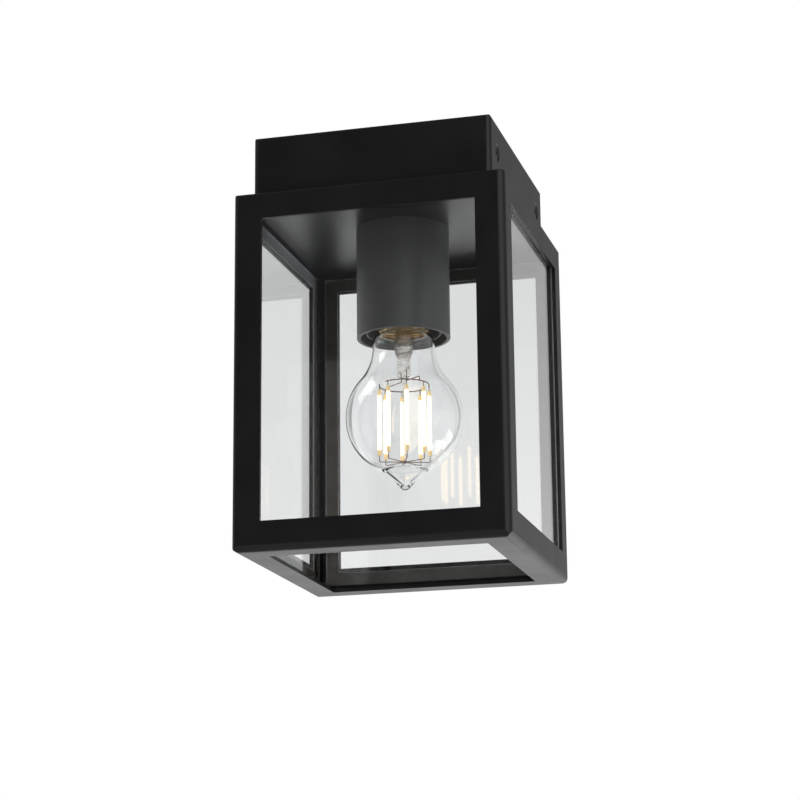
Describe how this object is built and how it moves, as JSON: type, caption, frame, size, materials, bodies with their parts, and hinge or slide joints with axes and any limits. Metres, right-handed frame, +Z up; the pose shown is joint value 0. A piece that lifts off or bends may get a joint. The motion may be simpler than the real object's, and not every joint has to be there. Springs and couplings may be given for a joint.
{
  "type": "porch ceiling lantern",
  "caption": "Square black porch ceiling lantern with clear panes, open underneath, a screwed canopy and a clear screw-in filament bulb.",
  "frame": {"origin": "centre of the ceiling bracket's top face, in the plane of the ceiling, midway between the two ceiling screw slots", "axes": "+Z up into the ceiling, -Y the front, +X the right when seen from the front"},
  "size_m": [0.14, 0.14, 0.216],
  "materials": {
    "black_paint": "satin",
    "zinc": "satin",
    "brass": "satin",
    "tin": "satin",
    "clear_glass": "gloss",
    "silicone": "satin",
    "rubber": "matte",
    "black_plastic": "matte",
    "grey_plastic": "matte",
    "white_plastic": "gloss",
    "black_glass": "gloss",
    "circuit_board": "satin",
    "filament": "matte",
    "live_cover": "matte",
    "neutral_cover": "matte",
    "earth_cover": "matte"
  },
  "bodies": {
    "lantern": {"ceiling_bracket": "zinc", "cable_grommet": "rubber", "side_nuts": "zinc", "side_screws": "black_paint", "canopy": "black_paint", "weld_studs": "zinc", "canopy_washers": "zinc", "canopy_nuts": "zinc", "housing": "black_paint", "pane_front": "clear_glass", "pane_rear": "clear_glass", "pane_left": "clear_glass", "pane_right": "clear_glass", "bead_front": "silicone", "bead_rear": "silicone", "bead_left": "silicone", "bead_right": "silicone", "holder_sleeve": "black_paint", "nipple": "zinc", "nipple_washer": "zinc", "nipple_nut": "zinc", "lead_bush": "white_plastic", "holder_cap": "black_plastic", "holder_insert": "white_plastic", "holder_terminals": "brass", "holder_skirt": "grey_plastic", "holder_thread": "brass", "shell_strap": "brass", "terminal_block": "white_plastic", "terminal_sleeves": "brass", "terminal_screws": "zinc", "block_nuts": "zinc", "earth_tag": "tin", "earth_washer": "zinc", "earth_nut": "zinc", "live_lead": "live_cover", "neutral_lead": "neutral_cover", "earth_lead": "earth_cover"},
    "centre_contact": {"holder_tongue": "brass"},
    "cap_contact": {"bulb_contact": "tin"},
    "bulb": {"bulb_glass": "clear_glass", "bulb_cap": "brass", "bulb_insulator": "black_glass", "bulb_driver": "circuit_board", "bulb_stem": "clear_glass", "filaments": "filament", "upper_wires": "zinc", "lower_wires": "zinc"}
  },
  "joints": [
    {"name": "bulb_drop", "type": "slide", "parent": "lantern", "child": "cap_contact", "axis": [0, 0, 1], "range_m": [-0.01452, 0]},
    {"name": "bulb_turn", "type": "hinge", "parent": "cap_contact", "child": "bulb", "pos_m": [0, 0, -0.0653], "axis": [0, 0, 1], "range_deg": [-1440, 0]},
    {"name": "contact_press", "type": "hinge", "parent": "lantern", "child": "centre_contact", "pos_m": [-0.008, 0, -0.06355], "axis": [0, -1, 0], "range_deg": [0, 7], "stiffness_Nm_per_rad": 0.17}
  ],
  "couplings": [
    {"joint": "bulb_drop", "follows": "bulb_turn", "m_per_rad": 0.00057757}
  ]
}
